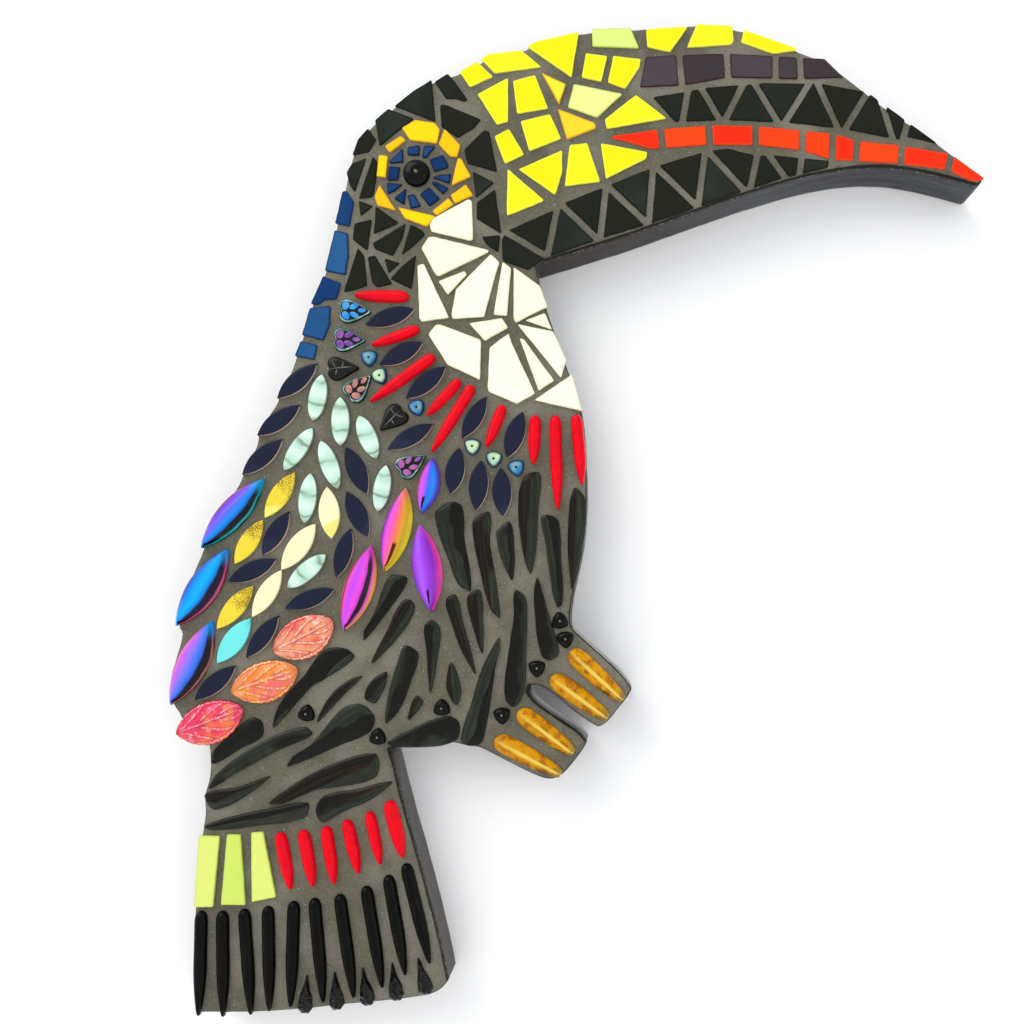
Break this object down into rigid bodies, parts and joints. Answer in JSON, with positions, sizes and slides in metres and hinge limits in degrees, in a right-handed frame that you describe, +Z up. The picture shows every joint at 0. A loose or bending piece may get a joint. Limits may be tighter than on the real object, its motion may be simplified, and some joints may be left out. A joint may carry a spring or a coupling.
{
  "type": "mosaic wall panel",
  "caption": "Toucan-shaped wall panel: a thick painted board with a grout bed set with coloured glass tesserae, petals, jewels and beads.",
  "frame": {"origin": "on the flat back of the board, in the upper part of the bird's body, level with the root of the throat spikes", "axes": "+Z is up the hung panel, +X is the way the beak points and +Y runs into the wall, so that the mosaic faces -Y"},
  "size_m": [0.3259, 0.0253, 0.3969],
  "materials": {
    "board": "brush-painted near-black, matt",
    "grout": "dark grey sanded grout",
    "jewel": "opaque iridescent coated glass, mirror smooth",
    "crystal": "pressed leaf glass over bright foil, opaque",
    "coral": "polished opaque red glass",
    "jet": "polished opaque black glass",
    "amber": "crackled amber glass, backed and opaque",
    "leaf_bead": "inlaid and glazed, gloss"
  },
  "bodies": {
    "root": {"backing_board": "board", "grout_bed": "grout", "pupil": "jet", "wing_jewel_1": "jewel", "wing_jewel_2": "jewel", "wing_jewel_3": "jewel", "wing_jewel_4": "jewel", "wing_jewel_5": "jewel", "wing_jewel_6": "jewel", "wing_jewel_7": "jewel", "crystal_leaf_1": "crystal", "crystal_leaf_2": "crystal", "crystal_leaf_3": "crystal", "breast_spike_1": "coral", "breast_spike_2": "coral", "breast_spike_3": "coral", "breast_spike_4": "coral", "breast_spike_5": "coral", "breast_spike_6": "coral", "breast_spike_7": "coral", "breast_spike_8": "coral", "breast_spike_9": "coral", "tail_spike_1": "coral", "tail_spike_2": "coral", "tail_spike_3": "coral", "tail_spike_4": "coral", "tail_spike_5": "coral", "tail_spike_6": "coral", "tail_dagger_1": "jet", "tail_dagger_2": "jet", "tail_dagger_3": "jet", "tail_dagger_4": "jet", "tail_dagger_5": "jet", "tail_dagger_6": "jet", "tail_dagger_7": "jet", "tail_dagger_8": "jet", "tail_dagger_9": "jet", "tail_dagger_10": "jet", "amber_toe_1": "amber", "amber_toe_2": "amber", "amber_toe_3": "amber", "amber_toe_4": "amber", "leaf_bead_1": "leaf_bead", "leaf_bead_2": "leaf_bead", "leaf_bead_3": "leaf_bead", "leaf_bead_4": "leaf_bead", "leaf_bead_5": "leaf_bead", "leaf_bead_6": "leaf_bead", "tail_bead_1": "jet", "tail_bead_2": "jet", "tail_bead_3": "jet", "tail_bead_4": "jet", "tail_bead_5": "jet", "black_bead_1": "jet", "black_bead_2": "jet", "black_bead_3": "jet", "black_bead_4": "jet", "black_bead_5": "jet", "black_bead_6": "jet", "black_bead_7": "jet"}
  },
  "joints": []
}
